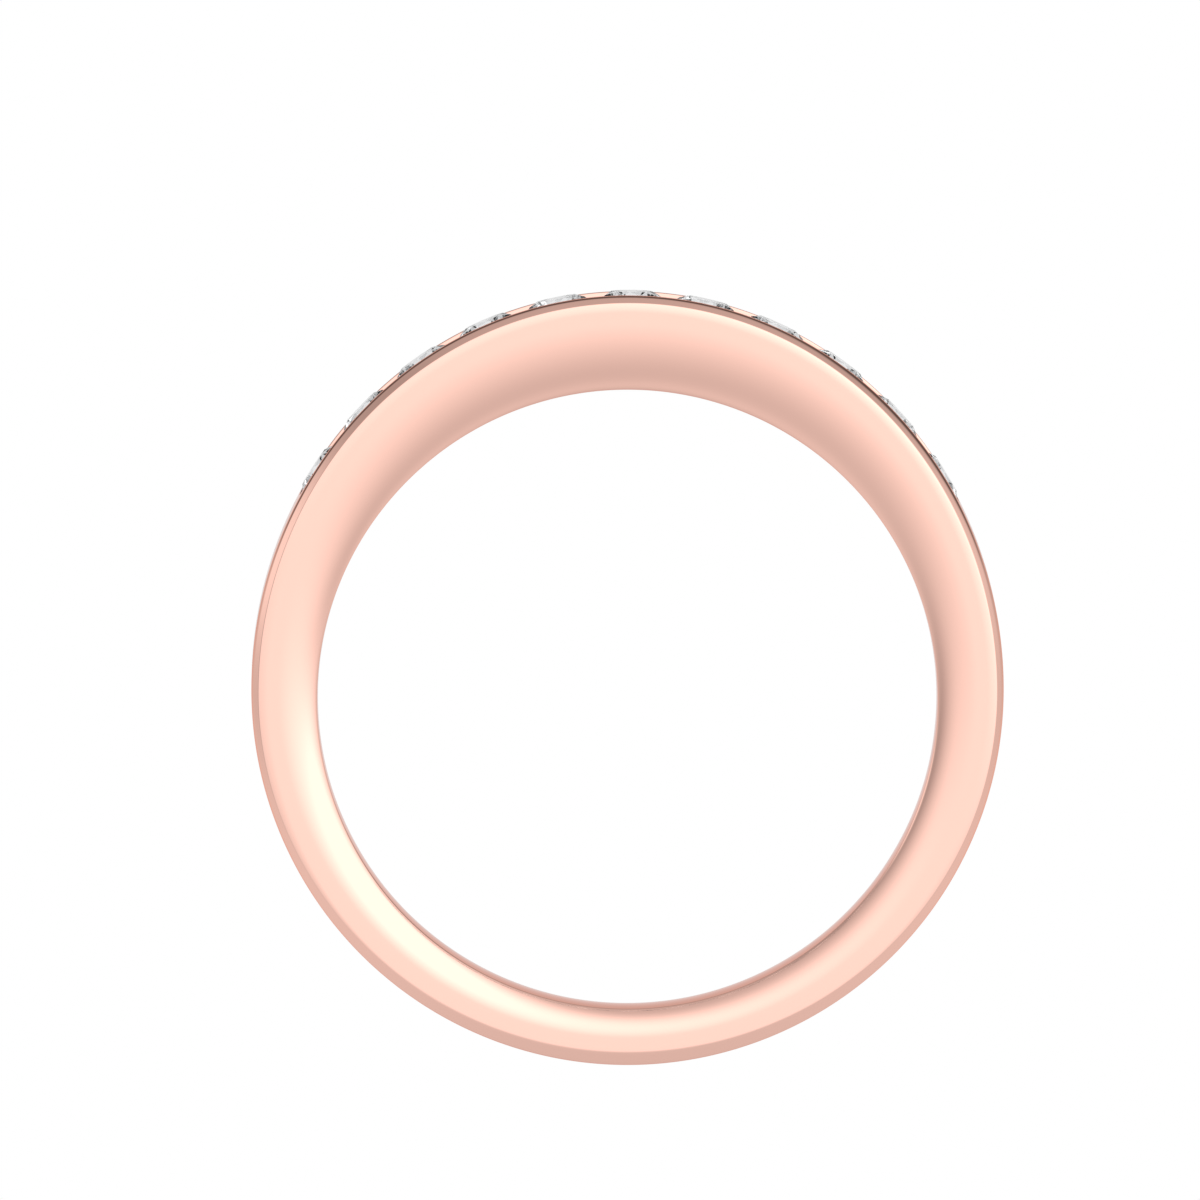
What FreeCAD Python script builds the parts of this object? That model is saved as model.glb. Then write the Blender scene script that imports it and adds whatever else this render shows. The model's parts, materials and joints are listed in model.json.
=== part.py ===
import FreeCAD, Part
import math
import os

# Half-eternity wedding band: one cast gold band with eleven round brilliant diamonds channel set over
# the top of the finger. Millimetres. The origin is the centre of the finger hole, +Y runs along the
# finger and +Z points up to the middle stone.

os.makedirs("parts", exist_ok=True)

# ---- driving dimensions -------------------------------------------------------------------------

BORE_RADIUS = 8.675          # ring size 7 (US), 17.35 mm inside diameter
BAND_WIDTH = 2.8             # from side face to side face, along the finger
BEVEL_WIDTH = 0.32           # of each bevel, along the finger
BORE_FLAT = 1.86             # straight length of the bore between its comfort-fit flares

# Every closed outline of the band, seen along the finger, is two half ellipses with a common centre:
# (height of the centre, half width, rise of the top above the centre, drop of the bottom below it).
OUTER_OUTLINE = (0.26, 10.545, 11.075, 10.545)
FACE_OUTLINE = (0.2, 10.35, 10.95, 10.12)
FLARE_OUTLINE = (0.305, 9.8, 10.245, 9.8)
BORE_OUTLINE = (0.0, BORE_RADIUS, BORE_RADIUS, BORE_RADIUS)
FLARE_STEPS = 6              # outlines that the comfort-fit flare is lofted through, after the first

STONE_COUNT = 11
STONE_PITCH = 2.117          # between stone axes, along the outer surface
STONE_TURN = 17.0            # degrees that each stone is turned about its axis from the one before
CHANNEL_WIDTH = 1.75         # clear width between the two rails
CHANNEL_DEPTH = 0.6
DRILL_RADIUS = 0.5           # light hole under each stone, through to the bore
SEAT_CLEARANCE = 0.01        # all round the girdle, between stone and bearing
CUT_MARGIN = 1.0             # how far a cutting solid stands past the surface that it cuts
SEWN_TOLERANCE = 1e-5        # of the blank's edges, once its faces are sewn together
FULL_TURN = 360              # degrees

STONE_RADIUS = 1.0
TABLE_RATIO = 0.57           # table radius over stone radius
STAR_RATIO = 0.78            # radius of the points where star and kite facets meet, over stone radius
CROWN_ANGLE = math.radians(34.5)
PAVILION_ANGLE = math.radians(40.75)
LOWER_RATIO = 0.23           # radius of the points where the lower halves end, over stone radius
GIRDLE_HEIGHT = 0.06
TABLE_ABOVE_RAIL = 0.063     # how far the table stands above the outer surface of the band
FOLD = 8                     # the brilliant cut repeats eight times round its axis
GIRDLE_STEPS = 4             # straight edges of the girdle per half facet

# ---- sizes worked out from the driving dimensions --------------------------------------------------

CROWN_HEIGHT = STONE_RADIUS * (1 - TABLE_RATIO) * math.tan(CROWN_ANGLE)
PAVILION_DEPTH = STONE_RADIUS * math.tan(PAVILION_ANGLE)
GIRDLE_DEPTH = CROWN_HEIGHT + GIRDLE_HEIGHT / 2 - TABLE_ABOVE_RAIL
HALF_FACET = math.pi / FOLD  # from the middle of a kite to its side point
RAIL_EDGE = BAND_WIDTH / 2 - BEVEL_WIDTH

UP = FreeCAD.Vector(0, 0, 1)
ALONG_FINGER = FreeCAD.Vector(0, 1, 0)


# ---- outlines --------------------------------------------------------------------------------------

def half_ellipse(centre, start, tip):
    """Half an ellipse, or half a circle, about a centre: from start by way of the tip."""
    half_width = start.distanceToPoint(centre)
    reach = tip.distanceToPoint(centre)
    if math.isclose(reach, half_width):
        return Part.Arc(start, tip, centre * 2 - start).toShape()
    if reach < half_width:
        ellipse = Part.Ellipse(start, tip, centre)
        return Part.ArcOfEllipse(ellipse, 0, math.pi).toShape()
    ellipse = Part.Ellipse(tip, centre * 2 - start, centre)
    return Part.ArcOfEllipse(ellipse, -math.pi / 2, math.pi / 2).toShape()


def outline(shape, y):
    """The closed outline of the band at a distance y along the finger, as a wire of two edges."""
    centre_height, half_width, rise, drop = shape
    centre = FreeCAD.Vector(0, y, centre_height)
    right = centre + FreeCAD.Vector(half_width, 0, 0)
    left = centre - FreeCAD.Vector(half_width, 0, 0)
    upper = half_ellipse(centre, left, centre + UP * rise)
    lower = half_ellipse(centre, right, centre - UP * drop)
    return Part.Wire([upper, lower])


def between(first, second, share):
    """The outline that lies a share of the way from the first to the second."""
    return tuple(a + (b - a) * share for a, b in zip(first, second))


def flare_outlines(side):
    """Outlines of the comfort-fit flare, a quarter ellipse in section, from side face to bore."""
    wires = []
    for step in range(FLARE_STEPS + 1):
        turn = math.pi / 2 * step / FLARE_STEPS
        y = BORE_FLAT / 2 + (BAND_WIDTH - BORE_FLAT) / 2 * math.cos(turn)
        wires.append(outline(between(FLARE_OUTLINE, BORE_OUTLINE, math.sin(turn)), side * y))
    return wires


# ---- band ------------------------------------------------------------------------------------------

def band_blank():
    """The band before any stone seat is cut: side faces, bevels, outer surface, flares and bore."""
    faces = []
    for side in (-1, 1):
        face_edge = outline(FACE_OUTLINE, side * BAND_WIDTH / 2)
        rail_edge = outline(OUTER_OUTLINE, side * RAIL_EDGE)
        flare = flare_outlines(side)
        faces += Part.makeFace([face_edge, flare[0]], "Part::FaceMakerBullseye").Faces
        faces += Part.makeLoft([face_edge, rail_edge], False, True).Faces
        faces += Part.makeLoft(flare, False, False).Faces
    faces += outline(OUTER_OUTLINE, -RAIL_EDGE).extrude(ALONG_FINGER * 2 * RAIL_EDGE).Faces
    faces += outline(BORE_OUTLINE, -BORE_FLAT / 2).extrude(ALONG_FINGER * BORE_FLAT).Faces
    shell = Part.makeShell(faces)
    shell.sewShape()
    blank = Part.makeSolid(shell)
    blank.fixTolerance(SEWN_TOLERANCE)
    if blank.Volume < 0:
        blank.reverse()
    return blank


def stone_places():
    """The placement of each stone: its origin is the middle of the girdle, its Z points outwards."""
    centre_height, half_width, rise, _ = OUTER_OUTLINE
    centre = FreeCAD.Vector(0, 0, centre_height)
    right = centre + FreeCAD.Vector(half_width, 0, 0)
    curve = Part.Ellipse(centre + UP * rise, right, centre)
    places = []
    for index in range(STONE_COUNT):
        along = (index - (STONE_COUNT - 1) / 2) * STONE_PITCH
        turn = curve.parameterAtDistance(along, 0)
        outward = FreeCAD.Vector(rise * math.sin(turn), 0, half_width * math.cos(turn)).normalize()
        position = curve.value(turn) - outward * GIRDLE_DEPTH
        upright = FreeCAD.Rotation(UP, outward)
        spin = FreeCAD.Rotation(UP, STONE_TURN * index)
        places.append(FreeCAD.Placement(position, upright.multiply(spin)))
    return places


def channel_cutter(places):
    """The shallow slot between the rails, from the first stone to the last, with round ends."""
    centre_height, half_width, rise, drop = OUTER_OUTLINE
    half_channel = CHANNEL_WIDTH / 2
    floor = (centre_height, half_width - CHANNEL_DEPTH, rise - CHANNEL_DEPTH, drop - CHANNEL_DEPTH)
    above = (centre_height, half_width + CUT_MARGIN, rise + CUT_MARGIN, drop + CUT_MARGIN)
    ring = Part.makeFace([outline(above, 0), outline(floor, 0)], "Part::FaceMakerBullseye")
    far = 2 * rise
    corners = [UP * 2 * far]
    ends = []
    for place, deeper_first in ((places[-1], False), (places[0], True)):
        outward = place.Rotation.multVec(UP)
        foot = place.Base - outward * (CHANNEL_DEPTH - GIRDLE_DEPTH)
        ends.append(Part.makeCylinder(half_channel, CHANNEL_DEPTH + CUT_MARGIN, foot, outward))
        side = [place.Base + outward * far, place.Base - outward * CHANNEL_DEPTH]
        corners += reversed(side) if deeper_first else side
    wedge = Part.Face(Part.makePolygon(corners + corners[:1]))
    slot = ring.common(wedge).extrude(ALONG_FINGER * CHANNEL_WIDTH)
    slot.translate(-ALONG_FINGER * half_channel)
    return slot.fuse(ends)


def seat_cutter():
    """One bearing: a belt for the girdle between two cones, and the light hole below them."""
    belt_radius = STONE_RADIUS + SEAT_CLEARANCE
    belt_half = GIRDLE_HEIGHT / 2 + SEAT_CLEARANCE
    star_height = crown_height_at(STAR_RATIO * STONE_RADIUS * math.cos(HALF_FACET))
    crown_slope = star_height / (STONE_RADIUS * (1 - STAR_RATIO))
    lower_depth = pavilion_depth_at(LOWER_RATIO * STONE_RADIUS * math.cos(HALF_FACET))
    pavilion_slope = lower_depth / (STONE_RADIUS * (1 - LOWER_RATIO))
    section = [
        FreeCAD.Vector(0, 0, -belt_half - belt_radius * pavilion_slope),
        FreeCAD.Vector(belt_radius, 0, -belt_half),
        FreeCAD.Vector(belt_radius, 0, belt_half),
        FreeCAD.Vector(0, 0, belt_half + belt_radius * crown_slope),
    ]
    bearing = Part.Face(Part.makePolygon(section + section[:1]))
    bearing = bearing.revolve(FreeCAD.Vector(), UP, FULL_TURN)
    drill_length = OUTER_OUTLINE[2] - BORE_RADIUS + CUT_MARGIN
    drill = Part.makeCylinder(DRILL_RADIUS, drill_length, -UP * drill_length, UP)
    return bearing.fuse(drill)


def band(places):
    """The finished band."""
    solid = band_blank().cut(channel_cutter(places))
    seat = seat_cutter()
    for place in places:
        solid = solid.cut(seat.transformed(place.toMatrix(), copy=True))
    return solid.Solids[0]


# ---- stones ----------------------------------------------------------------------------------------

def crown_height_at(distance):
    """Height of a kite's plane above the girdle, at a distance from the axis along the kite."""
    return (STONE_RADIUS - distance) * math.tan(CROWN_ANGLE)


def pavilion_depth_at(distance):
    """Depth of a pavilion main's plane below the girdle, at a distance from the axis along it."""
    return (STONE_RADIUS - distance) * math.tan(PAVILION_ANGLE)


def around(radius, angle, height):
    """A point at a radius, angle and height about the stone's axis."""
    return FreeCAD.Vector(radius * math.cos(angle), radius * math.sin(angle), height)


def girdle_edge(start, end, corner):
    """Points of the girdle from start to end, on the plane of the half facet through corner."""
    normal = (end - start).cross(corner - start)
    first = math.atan2(start.y, start.x)
    turn = HALF_FACET if start.cross(end).z > 0 else -HALF_FACET
    points = []
    for step in range(GIRDLE_STEPS + 1):
        point = around(STONE_RADIUS, first + turn * step / GIRDLE_STEPS, 0)
        point.z = start.z - (normal.x * (point.x - start.x) + normal.y * (point.y - start.y)) / normal.z
        points.append(point)
    return points


def brilliant():
    """A round brilliant cut diamond about its own axis, with the middle of its girdle at height 0."""
    crown_base = GIRDLE_HEIGHT / 2
    table_radius = TABLE_RATIO * STONE_RADIUS
    star_radius = STAR_RATIO * STONE_RADIUS
    lower_radius = LOWER_RATIO * STONE_RADIUS
    table_height = crown_base + CROWN_HEIGHT
    star_height = crown_base + crown_height_at(star_radius * math.cos(HALF_FACET))
    lower_height = -crown_base - pavilion_depth_at(lower_radius * math.cos(HALF_FACET))
    culet = FreeCAD.Vector(0, 0, -crown_base - PAVILION_DEPTH)
    polygons = [[around(table_radius, 2 * HALF_FACET * k, table_height) for k in range(FOLD)]]
    for k in range(FOLD):
        middle = 2 * HALF_FACET * k
        table = around(table_radius, middle, table_height)
        next_table = around(table_radius, middle + 2 * HALF_FACET, table_height)
        star_left = around(star_radius, middle + HALF_FACET, star_height)
        star_right = around(star_radius, middle - HALF_FACET, star_height)
        kite_foot = around(STONE_RADIUS, middle, crown_base)
        lower_left = around(lower_radius, middle + HALF_FACET, lower_height)
        lower_right = around(lower_radius, middle - HALF_FACET, lower_height)
        main_head = around(STONE_RADIUS, middle, -crown_base)
        polygons.append([table, star_right, kite_foot, star_left])
        polygons.append([table, star_left, next_table])
        polygons.append([culet, lower_left, main_head, lower_right])
        for side, star, lower in ((1, star_left, lower_left), (-1, star_right, lower_right)):
            upper_end = around(STONE_RADIUS, middle + side * HALF_FACET, crown_base)
            lower_end = around(STONE_RADIUS, middle + side * HALF_FACET, -crown_base)
            upper_edge = girdle_edge(kite_foot, upper_end, star)
            lower_edge = girdle_edge(main_head, lower_end, lower)
            polygons.append(upper_edge + [star])
            polygons.append(lower_edge + [lower])
            for step in range(GIRDLE_STEPS):
                polygons.append([upper_edge[step], upper_edge[step + 1],
                                 lower_edge[step + 1], lower_edge[step]])
    shell = Part.makeShell([Part.Face(Part.makePolygon(points + points[:1])) for points in polygons])
    shell.sewShape()
    stone = Part.makeSolid(shell)
    if stone.Volume < 0:
        stone.reverse()
    return stone


# ---- export ----------------------------------------------------------------------------------------

def main():
    places = stone_places()
    nodes = {"band": band(places)}
    stone = brilliant()
    for number, place in enumerate(places, start=1):
        nodes[f"diamond_{number:02d}"] = stone.transformed(place.toMatrix(), copy=True)
    for name, solid in nodes.items():
        solid.exportStep(f"parts/{name}.step")
        print(name, solid.ShapeType, "valid", solid.isValid(), "volume", round(solid.Volume, 4))


main()
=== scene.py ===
import json
import math

import bmesh
import bpy
from mathutils import Matrix, Vector


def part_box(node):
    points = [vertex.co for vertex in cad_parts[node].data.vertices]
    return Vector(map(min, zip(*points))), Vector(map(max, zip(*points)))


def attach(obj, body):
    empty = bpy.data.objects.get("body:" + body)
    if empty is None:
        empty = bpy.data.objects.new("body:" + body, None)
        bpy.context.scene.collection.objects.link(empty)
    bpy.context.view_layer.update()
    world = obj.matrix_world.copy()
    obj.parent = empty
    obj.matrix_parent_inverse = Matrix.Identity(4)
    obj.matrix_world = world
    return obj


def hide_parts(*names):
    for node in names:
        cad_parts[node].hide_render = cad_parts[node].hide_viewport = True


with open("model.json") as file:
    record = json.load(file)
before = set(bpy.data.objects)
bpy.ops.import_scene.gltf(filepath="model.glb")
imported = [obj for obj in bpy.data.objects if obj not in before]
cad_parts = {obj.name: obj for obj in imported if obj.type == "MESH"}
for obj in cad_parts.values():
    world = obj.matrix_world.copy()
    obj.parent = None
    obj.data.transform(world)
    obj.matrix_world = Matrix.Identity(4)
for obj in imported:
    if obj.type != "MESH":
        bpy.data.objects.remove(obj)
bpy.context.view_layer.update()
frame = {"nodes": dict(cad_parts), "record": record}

MM = 0.001

# ---- the band's driving sizes, from the frame where it holds them --------------------------------

BAND_LOW, BAND_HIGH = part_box("band")
FINGER_BORE = frame["record"]["mounts"][0]["dims"]
BORE_RADIUS = FINGER_BORE["r_mm"] * MM
BORE_FLAT = FINGER_BORE["length_mm"] * MM
BAND_WIDTH = BAND_HIGH.y - BAND_LOW.y
STONE_NODES = sorted(name for name in frame["nodes"] if name.startswith("diamond"))

# An outline of the band, seen along the finger, is two half ellipses with a common centre: (height of
# the centre, half width, rise of the top above the centre, drop of the bottom below it).
OUTER_CENTRE = BAND_LOW.z + BAND_HIGH.x
OUTER_OUTLINE = (OUTER_CENTRE, BAND_HIGH.x, BAND_HIGH.z - OUTER_CENTRE, BAND_HIGH.x)
FACE_OUTLINE = (0.2 * MM, 10.35 * MM, 10.95 * MM, 10.12 * MM)
FLARE_OUTLINE = (0.305 * MM, 9.8 * MM, 10.245 * MM, 9.8 * MM)
BEVEL_WIDTH = 0.32 * MM

# ---- the channel and the bearings ----------------------------------------------------------------

CHANNEL_WIDTH = 1.75 * MM
CHANNEL_DEPTH = 0.6 * MM
SEAT_CLEARANCE = 0.01 * MM
SEAT_SLOPE_ABOVE = 0.87      # rise of the bearing's upper cone over its run
SEAT_SLOPE_BELOW = 0.882
DRILL_RADIUS = 0.5 * MM
DRILL_LENGTH = 3.4 * MM      # from the girdle down past the bore
GIRDLE_SHARE = 0.99          # share of a stone's radius past which its points are the girdle's

# ---- softened edges that only the looks need -----------------------------------------------------

FLARE_END = math.radians(58)    # how far the flare has turned from the side face at the bore
BORE_CROWN = 0.7                # rise of the bore's ends, as a share of the flare's last drop
BORE_CORNER_RADIUS = 0.04 * MM
FACE_EASE = 0.26 * MM           # how far in from its outer edge a side face starts to fall away
FACE_DROP = 0.022 * MM          # how much it has fallen at that edge
CREASE_RADIUS = 0.035 * MM
RAIL_RADIUS = 0.45 * MM
SOFT_FULL = math.radians(100)   # from the top to here the face's ease and the rails are softest
SOFT_LEAST = math.radians(150)  # from here to the bottom they are crispest
LEAST_SHARE = 0.2               # how soft they are there, as a share of the softest
LIP_RADIUS = 0.04 * MM          # rounding of the rails' inner edges
LIP_START = math.radians(15)    # how far round that arc the channel's cutter joins it
MOUTH_OFFSET = 1.2 * LIP_RADIUS     # how far the cutter's mouth stands out from the channel's wall
MOUTH_HEIGHT = 0.08 * LIP_RADIUS    # how far above the outline the mouth starts to close in
CUT_MARGIN = 1.0 * MM           # how far the cutter stands past the surface that it cuts
SHARP_ANGLE = math.radians(30)  # edges that turn further than this are shaded as sharp

# ---- how finely the curves are divided -----------------------------------------------------------

SECTIONS = 540                  # cross-sections round the band
BORE_STEPS = 8
FLARE_STEPS = 30
FACE_STEPS = 3
EASE_STEPS = 9
CORNER_STEPS = 6
BEVEL_STEPS = 4
OUTSIDE_STEPS = 6
CHANNEL_STEPS = 220             # stations along the channel, without its round ends
CAP_STEPS = 12                  # stations round each end of the channel
LIP_STEPS = 4
CUTTER_SIDES = 72


def new_object(name, verts, faces):
    """A mesh object in the scene."""
    mesh = bpy.data.meshes.new(name)
    mesh.from_pydata(verts, [], faces)
    mesh.update()
    piece = bpy.data.objects.new(name, mesh)
    bpy.context.scene.collection.objects.link(piece)
    return piece


def without_repeats(loop):
    """A face's corners in order, each one once, so that a collapsed quad is a triangle."""
    return list(dict.fromkeys(loop))


# ---- the band's cross-section --------------------------------------------------------------------
# A point of it is (distance from the bore's axis, distance along the finger).

def outline_radius(outline, angle):
    """Distance from the bore's axis to an outline, at an angle from the top."""
    centre, half_width, rise, drop = outline
    sine, cosine = math.sin(angle), math.cos(angle)
    above_centre = cosine > centre / math.hypot(half_width, centre)
    height = rise if above_centre else drop
    square = (sine / half_width) ** 2 + (cosine / height) ** 2
    linear = -2 * centre * cosine / height ** 2
    constant = (centre / height) ** 2 - 1
    return (-linear + math.sqrt(linear ** 2 - 4 * square * constant)) / (2 * square)


def rounded_corner(before, corner, after, radius):
    """Points of an arc that rounds a corner of a profile."""
    into = (before - corner).normalized()
    out = (after - corner).normalized()
    half = into.angle(out) / 2
    setback = radius / math.tan(half)
    centre = corner + (into + out).normalized() * radius / math.sin(half)
    start = (corner + into * setback - centre).normalized()
    end = (corner + out * setback - centre).normalized()
    return [centre + start.slerp(end, step / CORNER_STEPS) * radius for step in range(CORNER_STEPS + 1)]


def softness(angle):
    """How soft the face's ease and the rails are at an angle from the top, as a share of the softest."""
    top, bottom = math.cos(SOFT_FULL), math.cos(SOFT_LEAST)
    share = min(1, max(0, (math.cos(angle) - bottom) / (top - bottom)))
    return LEAST_SHARE + (1 - LEAST_SHARE) * share ** 2 * (3 - 2 * share)


def flare_points(flare_start):
    """An elliptic quarter turn, cut short at the bore: from the side face's edge inwards."""
    across = flare_start - BORE_RADIUS
    along = (BAND_WIDTH - BORE_FLAT) / 2
    last_turn = math.atan(across / along * math.tan(FLARE_END))
    points = []
    for step in range(1, FLARE_STEPS + 1):
        turn = last_turn * step / FLARE_STEPS
        reach, depth = across * math.sin(turn), along * math.cos(turn)
        points.append(Vector((flare_start - reach, BORE_FLAT / 2 + depth)))
    return points


def bore_points(flare_end):
    """The crowned bore, from its middle to the rounded corner where the flare ends."""
    last_drop = flare_end.x - BORE_RADIUS
    crown = last_drop * BORE_CROWN
    lip = Vector((BORE_RADIUS + crown, flare_end.y - (last_drop - crown) * math.tan(FLARE_END)))
    points = []
    for step in range(BORE_STEPS):
        share = step / BORE_STEPS
        points.append(Vector((BORE_RADIUS + crown * share ** 2, lip.y * share)))
    return points + rounded_corner(points[-1], lip, flare_end, BORE_CORNER_RADIUS)


def face_points(flare_start, crease, ease, drop):
    """The side face: flat at first, then falling away towards its outer edge at the crease."""
    half_width = BAND_WIDTH / 2
    ease_start = crease - ease
    points = []
    for step in range(FACE_STEPS):
        reach = flare_start + (ease_start - flare_start) * step / FACE_STEPS
        points.append(Vector((reach, half_width)))
    for step in range(EASE_STEPS):
        share = step / EASE_STEPS
        points.append(Vector((ease_start + ease * share, half_width - drop * share ** 2)))
    return points


def half_profile(angle):
    """One half of the cross-section, from the middle of the bore to the middle of the outside."""
    flare_start = outline_radius(FLARE_OUTLINE, angle)
    crease = outline_radius(FACE_OUTLINE, angle)
    outside = outline_radius(OUTER_OUTLINE, angle)
    soft = softness(angle)
    drop = FACE_DROP * soft
    flare = flare_points(flare_start)
    face = face_points(flare_start, crease, FACE_EASE * soft, drop)
    crease_point = Vector((crease, BAND_WIDTH / 2 - drop))
    rail_point = Vector((outside, BAND_WIDTH / 2 - BEVEL_WIDTH))
    middle = Vector((outside, 0))
    crease_arc = rounded_corner(face[-1], crease_point, rail_point, CREASE_RADIUS)
    rail_arc = rounded_corner(crease_point, rail_point, middle, RAIL_RADIUS * soft)
    points = bore_points(flare[-1]) + flare[::-1] + face[:-1] + crease_arc
    points += [crease_arc[-1].lerp(rail_arc[0], step / BEVEL_STEPS) for step in range(1, BEVEL_STEPS)]
    points += rail_arc
    points += [rail_arc[-1].lerp(middle, step / OUTSIDE_STEPS) for step in range(1, OUTSIDE_STEPS)]
    return points + [middle]


def band_blank():
    """The band before its channel and bearings are cut, as a closed grid of quads."""
    verts = []
    for section in range(SECTIONS):
        angle = 2 * math.pi * section / SECTIONS
        half = half_profile(angle)
        mirrored = [Vector((point.x, -point.y)) for point in half[-2:0:-1]]
        loop = half + mirrored
        verts += [(p.x * math.sin(angle), p.y, p.x * math.cos(angle)) for p in loop]
    count = len(loop)
    faces = []
    for section in range(SECTIONS):
        here = section * count
        there = (section + 1) % SECTIONS * count
        for index in range(count):
            after = (index + 1) % count
            faces.append((here + index, here + after, there + after, there + index))
    return new_object("gold_band", verts, faces)


# ---- what is cut out of the band -----------------------------------------------------------------

def stone_frame(name):
    """A stone's matrix, with Z outwards along its axis, its radius and half its girdle's height."""
    points = [vertex.co for vertex in frame["nodes"][name].data.vertices]
    culet = min(points, key=lambda point: math.hypot(point.x, point.z))
    axis = (sum(points, Vector()) / len(points) - culet).normalized()
    reach = [(point - culet).cross(axis).length for point in points]
    radius = max(reach)
    girdle = [(point - culet).dot(axis) for point, far in zip(points, reach) if far > GIRDLE_SHARE * radius]
    centre = culet + axis * (min(girdle) + max(girdle)) / 2
    along = Vector((0, 1, 0))
    turn = Matrix((along.cross(axis), along, axis)).transposed()
    return Matrix.Translation(centre) @ turn.to_4x4(), radius, (max(girdle) - min(girdle)) / 2


def seat_cutter(place, radius, half):
    """One bearing, a belt for the girdle between two cones, with the light hole below it."""
    belt = radius + SEAT_CLEARANCE
    half += SEAT_CLEARANCE
    drill_top = half + (belt - DRILL_RADIUS) * SEAT_SLOPE_BELOW
    section = [(0, half + belt * SEAT_SLOPE_ABOVE), (belt, half), (belt, -half),
               (DRILL_RADIUS, -drill_top), (DRILL_RADIUS, -DRILL_LENGTH), (0, -DRILL_LENGTH)]
    verts = []
    rows = []
    for reach, height in section:
        count = CUTTER_SIDES if reach else 1
        rows.append([len(verts) + side % count for side in range(CUTTER_SIDES)])
        for side in range(count):
            angle = 2 * math.pi * (side + 0.5) / CUTTER_SIDES
            verts.append(place @ Vector((reach * math.cos(angle), reach * math.sin(angle), height)))
    faces = []
    for upper, lower in zip(rows, rows[1:]):
        for side in range(CUTTER_SIDES):
            after = (side + 1) % CUTTER_SIDES
            faces.append(without_repeats([upper[side], lower[side], lower[after], upper[after]]))
    return new_object("seat_cutter", verts, faces)


def channel_layers():
    """The channel cutter's wall from top to bottom: (out from the channel's wall, up from the outline)."""
    layers = [(MOUTH_OFFSET, CUT_MARGIN), (MOUTH_OFFSET, MOUTH_HEIGHT)]
    for step in range(LIP_STEPS + 1):
        lean = LIP_START + (math.pi / 2 - LIP_START) * step / LIP_STEPS
        layers.append((LIP_RADIUS * (1 - math.sin(lean)), LIP_RADIUS * (math.cos(lean) - 1)))
    return layers + [(0, -CHANNEL_DEPTH)]


def channel_stations(first_turn, last_turn, reach):
    """Stops along a slot with round ends: (turn round the outline, distance past it, half width)."""
    cap = []
    for step in range(CAP_STEPS):
        lean = math.pi / 2 * step / CAP_STEPS
        cap.append((reach * math.cos(lean), reach * math.sin(lean)))
    stations = [(first_turn, -beyond, half) for beyond, half in cap]
    for step in range(CHANNEL_STEPS + 1):
        stations.append((first_turn + (last_turn - first_turn) * step / CHANNEL_STEPS, 0, reach))
    return stations + [(last_turn, beyond, half) for beyond, half in reversed(cap)]


def channel_cutter(first, last):
    """The slot between the rails, from the first stone to the last, with round ends and soft lips."""
    centre, half_width, rise, _ = OUTER_OUTLINE
    ends = []
    for place in (first, last):
        axis = place.col[2]
        ends.append(math.atan2(axis.x / rise, axis.z / half_width))
    verts = []
    rows = []
    for offset, height in channel_layers():
        row = []
        for turn, beyond, half in channel_stations(*ends, CHANNEL_WIDTH / 2 + offset):
            speed = math.hypot(half_width * math.cos(turn), rise * math.sin(turn))
            turn += beyond / speed
            outward = Vector((rise * math.sin(turn), 0, half_width * math.cos(turn))).normalized()
            foot = Vector((half_width * math.sin(turn), 0, centre + rise * math.cos(turn)))
            point = foot + outward * height
            sides = [len(verts)]
            verts.append(point + Vector((0, -half, 0)))
            if half:
                sides.append(len(verts))
                verts.append(point + Vector((0, half, 0)))
            row.append((sides[0], sides[-1]))
        rows.append(row)
    faces = []
    for step in range(len(rows[0]) - 1):
        for row, flip in ((rows[0], False), (rows[-1], True)):
            loop = [row[step][0], row[step + 1][0], row[step + 1][1], row[step][1]]
            faces.append(without_repeats(reversed(loop) if flip else loop))
        for upper, lower in zip(rows, rows[1:]):
            near = [upper[step][0], lower[step][0], lower[step + 1][0], upper[step + 1][0]]
            far = [upper[step][1], upper[step + 1][1], lower[step + 1][1], lower[step][1]]
            faces += [near, far]
    return new_object("channel_cutter", verts, faces)


def cut(piece, cutters):
    """Cuts closed meshes out of a piece, and removes them."""
    holder = bpy.data.collections.new("cutters")
    for cutter in cutters:
        shape = bmesh.new()
        shape.from_mesh(cutter.data)
        bmesh.ops.recalc_face_normals(shape, faces=shape.faces)
        shape.to_mesh(cutter.data)
        shape.free()
        holder.objects.link(cutter)
    modifier = piece.modifiers.new("cut", "BOOLEAN")
    modifier.operation = "DIFFERENCE"
    modifier.operand_type = "COLLECTION"
    modifier.collection = holder
    modifier.solver = "EXACT"
    bpy.context.view_layer.update()
    shaped = bpy.data.meshes.new_from_object(piece.evaluated_get(bpy.context.evaluated_depsgraph_get()))
    piece.modifiers.clear()
    piece.data = shaped
    for cutter in cutters:
        bpy.data.objects.remove(cutter)
    bpy.data.collections.remove(holder)


def gold_band():
    """The finished band, with its channel, bearings and light holes."""
    band = band_blank()
    stones = [stone_frame(name) for name in STONE_NODES]
    cutters = [channel_cutter(stones[0][0], stones[-1][0])]
    cutters += [seat_cutter(*stone) for stone in stones]
    cut(band, cutters)
    band.data.name = "gold_band"
    band.data.shade_smooth()
    band.data.set_sharp_from_angle(angle=SHARP_ANGLE)
    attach(band, "root")
    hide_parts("band")
    return band


# ---- materials -----------------------------------------------------------------------------------
# A noise has as many cells to the metre as its scale, times its stretch if it has one. Its range is
# where its value starts and stops counting.

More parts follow.
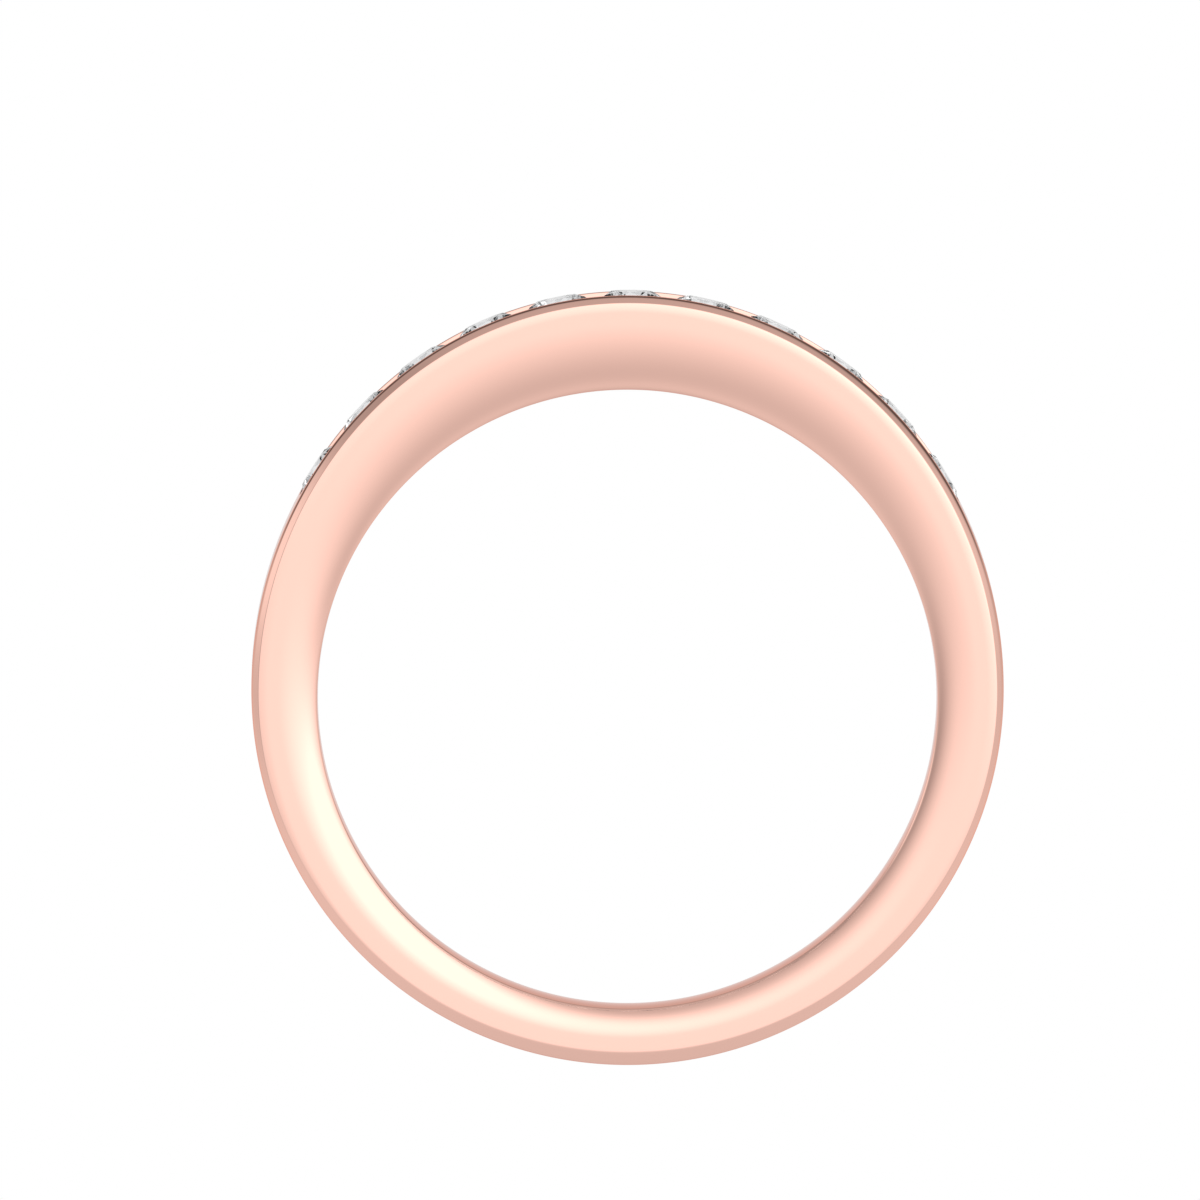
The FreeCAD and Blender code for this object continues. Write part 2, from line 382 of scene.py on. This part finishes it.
GOLD_COLOUR = (0.97, 0.60, 0.502, 1.0)
GOLD_EDGE_COLOUR = (0.97, 0.64, 0.55, 1.0)
HAZE_SCALE = 900.0
HAZE_RANGE = (0.3, 0.7)
HAZE_ROUGHNESS = (0.05, 0.09)
PEEL_STRENGTH = 0.02
PEEL_HEIGHT = 0.02 * MM
HAIR_STRETCH = (900.0, 9000.0, 900.0)
HAIR_TURN = (0.3, 0.5, 0.2)
HAIR_SCALE = 12.0
HAIR_RANGE = (0.62, 0.8)
HAIR_ROUGHNESS = (0.0, 0.05)

DIAMOND_COLOUR = (0.985, 0.99, 1.0, 1.0)
DIAMOND_IOR = 2.417
POLISH_STRETCH = (4000.0, 60000.0, 4000.0)
POLISH_TURN = (0.7, 0.2, 0.4)
POLISH_RANGE = (0.45, 0.75)
POLISH_ROUGHNESS = (0.0, 0.03)
POLISH_STRENGTH = 0.01
POLISH_HEIGHT = 0.002 * MM


def new_material(name):
    """A node material, its tree and its Principled shader."""
    material = bpy.data.materials.new(name)
    material.use_nodes = True
    tree = material.node_tree
    return material, tree, tree.nodes["Principled BSDF"]


def node(tree, kind, inputs=None, **settings):
    """A new node with its settings, and with each input set to a value or linked to a socket."""
    made = tree.nodes.new(kind)
    for name, value in settings.items():
        setattr(made, name, value)
    for name, value in (inputs or {}).items():
        if isinstance(value, bpy.types.NodeSocket):
            tree.links.new(value, made.inputs[name])
        else:
            made.inputs[name].default_value = value
    return made


def maths(tree, operation, *values):
    """The result of an arithmetic operation on values or sockets."""
    return node(tree, "ShaderNodeMath", dict(enumerate(values)), operation=operation).outputs[0]


def remap(tree, value, reach, result=(0.0, 1.0), **settings):
    """A socket that goes from one end of result to the other while value crosses reach."""
    inputs = {"Value": value, "From Min": reach[0], "From Max": reach[1], "To Min": result[0],
              "To Max": result[1]}
    return node(tree, "ShaderNodeMapRange", inputs, **settings).outputs[0]


def noise(tree, place, scale, detail):
    """A noise pattern."""
    inputs = {"Vector": place, "Scale": scale, "Detail": detail}
    return node(tree, "ShaderNodeTexNoise", inputs).outputs[0]


def stretched(tree, place, stretch, turn):
    """Coordinates turned and stretched, which draw a noise out into lines."""
    return node(tree, "ShaderNodeMapping", {"Vector": place, "Scale": stretch, "Rotation": turn}).outputs[0]


def finish_surface(tree, shader, rough, relief, strength, height):
    """Gives a shader its roughness and its shallow relief."""
    tree.links.new(rough, shader.inputs["Roughness"])
    bump = node(tree, "ShaderNodeBump", {"Height": relief, "Strength": strength, "Distance": height})
    tree.links.new(bump.outputs[0], shader.inputs["Normal"])


def rose_gold():
    """High polish 14 carat rose gold: buffing haze, faint hairlines and a very shallow orange peel."""
    material, tree, shader = new_material("rose_gold_polished")
    shader.inputs["Base Color"].default_value = GOLD_COLOUR
    shader.inputs["Metallic"].default_value = 1.0
    shader.inputs["Specular Tint"].default_value = GOLD_EDGE_COLOUR
    place = node(tree, "ShaderNodeTexCoord").outputs["Object"]
    haze = noise(tree, place, HAZE_SCALE, detail=4.0)
    hairs = noise(tree, stretched(tree, place, HAIR_STRETCH, HAIR_TURN), HAIR_SCALE, detail=2.0)
    rough = maths(tree, "ADD", remap(tree, haze, HAZE_RANGE, HAZE_ROUGHNESS),
                  remap(tree, hairs, HAIR_RANGE, HAIR_ROUGHNESS))
    finish_surface(tree, shader, rough, haze, PEEL_STRENGTH, PEEL_HEIGHT)
    return material


def diamond():
    """Colourless diamond with polished facets, and the faint polish lines that real facets keep."""
    material, tree, shader = new_material("diamond_colourless")
    shader.inputs["Base Color"].default_value = DIAMOND_COLOUR
    shader.inputs["Transmission Weight"].default_value = 1.0
    shader.inputs["IOR"].default_value = DIAMOND_IOR
    place = node(tree, "ShaderNodeTexCoord").outputs["Object"]
    polish = noise(tree, stretched(tree, place, POLISH_STRETCH, POLISH_TURN), 1.0, detail=3.0)
    rough = remap(tree, polish, POLISH_RANGE, POLISH_ROUGHNESS)
    finish_surface(tree, shader, rough, polish, POLISH_STRENGTH, POLISH_HEIGHT)
    return material


# ---- studio --------------------------------------------------------------------------------------

# Soft lights round the ring: (turn from straight up towards +X, angle from -Y and half angle of the
# spread, all in degrees; how flat its middle is; strength). A flag takes light away.
SOFT_LIGHTS = {
    "key, above right of the camera": (58, 32, 35, 2.1, 1.15),
    "fill, left of the camera": (280, 24, 36, 1.7, 0.56),
    "ceiling": (1, 68, 116, 3.3, 1.37),
    "side panel, above right": (63, 76, 40, 3.4, 0.88),
    "strip, left and behind": (286, 111, 14, 2.6, 0.61),
    "floor bounce": (181, 115, 82, 4.4, 1.38),
    "black flag, above right and behind": (51, 122, 19, 2.6, -0.49),
    "black flag, above left and behind": (319, 98, 14, 2.6, -0.1),
}
ROOM_LEVEL = -0.74              # what the lights are added to
LEAST_LIGHT = 0.1
MOST_LIGHT = 1.68
# An unlit gap between the ceiling and the backdrop: the angles from +Y over which it fades in and out,
# the upward part of a direction over which it fades in, and its level.
GAP_INNER = (math.radians(24), math.radians(34))
GAP_OUTER = (math.radians(50), math.radians(62))
GAP_UPWARD = (0.12, 0.3)
GAP_LEVEL = 0.12
STONE_GAIN = 1.05               # how much brighter the room is to light that has come through a stone
FLOOR_HALF = 3.0


def soft_light(tree, name, direction, others, light):
    """The level of the other lights with one more added."""
    turn, lean, spread, power, strength = light
    turn, lean = math.radians(turn), math.radians(lean)
    centre = (math.sin(lean) * math.sin(turn), -math.cos(lean), math.sin(lean) * math.cos(turn))
    cosine = node(tree, "ShaderNodeVectorMath", {0: direction, 1: centre}, operation="DOT_PRODUCT")
    cosine.label = name
    angle = maths(tree, "ARCCOSINE", cosine.outputs["Value"])
    share = maths(tree, "DIVIDE", angle, math.radians(spread))
    fall = maths(tree, "MULTIPLY", maths(tree, "POWER", share, power), -1.0)
    return maths(tree, "MULTIPLY_ADD", maths(tree, "EXPONENT", fall), strength, others)


def unlit_gap(tree, direction):
    """How far a direction is in the gap between the ceiling and the backdrop, from 0 to 1."""
    parts = node(tree, "ShaderNodeSeparateXYZ", {0: direction})
    off_back = maths(tree, "ARCCOSINE", parts.outputs["Y"])
    inner = remap(tree, off_back, GAP_INNER, interpolation_type="SMOOTHSTEP")
    outer = remap(tree, off_back, GAP_OUTER, interpolation_type="SMOOTHSTEP")
    upward = remap(tree, parts.outputs["Z"], GAP_UPWARD, interpolation_type="SMOOTHSTEP")
    return maths(tree, "MULTIPLY", maths(tree, "SUBTRACT", inner, outer), upward)


def studio_world():
    """A white backdrop to the camera, and a dim room with large soft lights to everything else."""
    world = bpy.data.worlds.new("studio")
    world.use_nodes = True
    tree = world.node_tree
    tree.nodes.clear()
    direction = node(tree, "ShaderNodeTexCoord").outputs["Generated"]
    level = ROOM_LEVEL
    for name, light in SOFT_LIGHTS.items():
        level = soft_light(tree, name, direction, level, light)
    level = maths(tree, "MINIMUM", maths(tree, "MAXIMUM", level, LEAST_LIGHT), MOST_LIGHT)
    level = node(tree, "ShaderNodeMix", {"Factor": unlit_gap(tree, direction), 2: level, 3: GAP_LEVEL},
                 data_type="FLOAT").outputs[0]
    rays = node(tree, "ShaderNodeLightPath")
    gain = remap(tree, rays.outputs["Is Transmission Ray"], (0.0, 1.0), (1.0, STONE_GAIN))
    level = maths(tree, "MULTIPLY", level, gain)
    seen = node(tree, "ShaderNodeMix", {"Factor": rays.outputs["Is Camera Ray"], 2: level, 3: 1.0},
                data_type="FLOAT")
    back = node(tree, "ShaderNodeBackground", {"Color": (1, 1, 1, 1), "Strength": seen.outputs[0]})
    node(tree, "ShaderNodeOutputWorld", {"Surface": back.outputs[0]})
    bpy.context.scene.world = world


def add_floor():
    """A plain white floor that the ring stands on. Its light on the ring is the world's."""
    low = BAND_LOW.z
    corners = [(-FLOOR_HALF, -FLOOR_HALF, low), (FLOOR_HALF, -FLOOR_HALF, low),
               (FLOOR_HALF, FLOOR_HALF, low), (-FLOOR_HALF, FLOOR_HALF, low)]
    floor = new_object("studio_floor", corners, [(0, 1, 2, 3)])
    material, _, shader = new_material("floor_white")
    shader.inputs["Base Color"].default_value = (0.0, 0.0, 0.0, 1.0)
    shader.inputs["Specular IOR Level"].default_value = 0.0
    shader.inputs["Emission Color"].default_value = (1.0, 1.0, 1.0, 1.0)
    shader.inputs["Emission Strength"].default_value = 1.0
    floor.data.materials.append(material)
    for ray in ("diffuse", "glossy", "transmission", "volume_scatter", "shadow"):
        setattr(floor, "visible_" + ray, False)


# ---- camera --------------------------------------------------------------------------------------

FIELD_WIDTH = 33.66 * MM        # what the picture spans at the ring
VIEW_DISTANCE = 1.2
VIEW_RISE = math.radians(4.1)
VIEW_TURN = math.radians(-0.4)
VIEW_ROLL = math.radians(0.65)
AIM_RIGHT = -0.763 * MM         # where the picture's middle lies from the bore's centre
AIM_UP = 2.707 * MM
SENSOR_WIDTH = 36.0             # in millimetres, as Blender counts it
CLIP_START = 0.01
CLIP_END = 20


def add_camera():
    """A long lens from just above the finger's axis."""
    data = bpy.data.cameras.new("camera")
    data.sensor_width = SENSOR_WIDTH
    data.lens = SENSOR_WIDTH * VIEW_DISTANCE / FIELD_WIDTH
    data.clip_start = CLIP_START
    data.clip_end = CLIP_END
    camera = bpy.data.objects.new("camera", data)
    bpy.context.scene.collection.objects.link(camera)
    upright = Matrix.Rotation(VIEW_TURN, 3, "Z") @ Matrix.Rotation(math.pi / 2 - VIEW_RISE, 3, "X")
    turned = upright @ Matrix.Rotation(VIEW_ROLL, 3, "Z")
    place = turned @ Vector((AIM_RIGHT, AIM_UP, VIEW_DISTANCE))
    camera.matrix_world = Matrix.Translation(place) @ turned.to_4x4()
    bpy.context.scene.camera = camera


# ---- the scene -----------------------------------------------------------------------------------

band = gold_band()
band.data.materials.clear()
band.data.materials.append(rose_gold())
# As in the photo, the band neither mirrors itself nor darkens what is seen through the stones.
band.visible_transmission = False
band.visible_glossy = False
stone_material = diamond()
for name in STONE_NODES:
    for slot in frame["nodes"][name].material_slots:
        slot.material = stone_material
studio_world()
add_floor()
bpy.context.scene.view_settings.view_transform = "Standard"
add_camera()
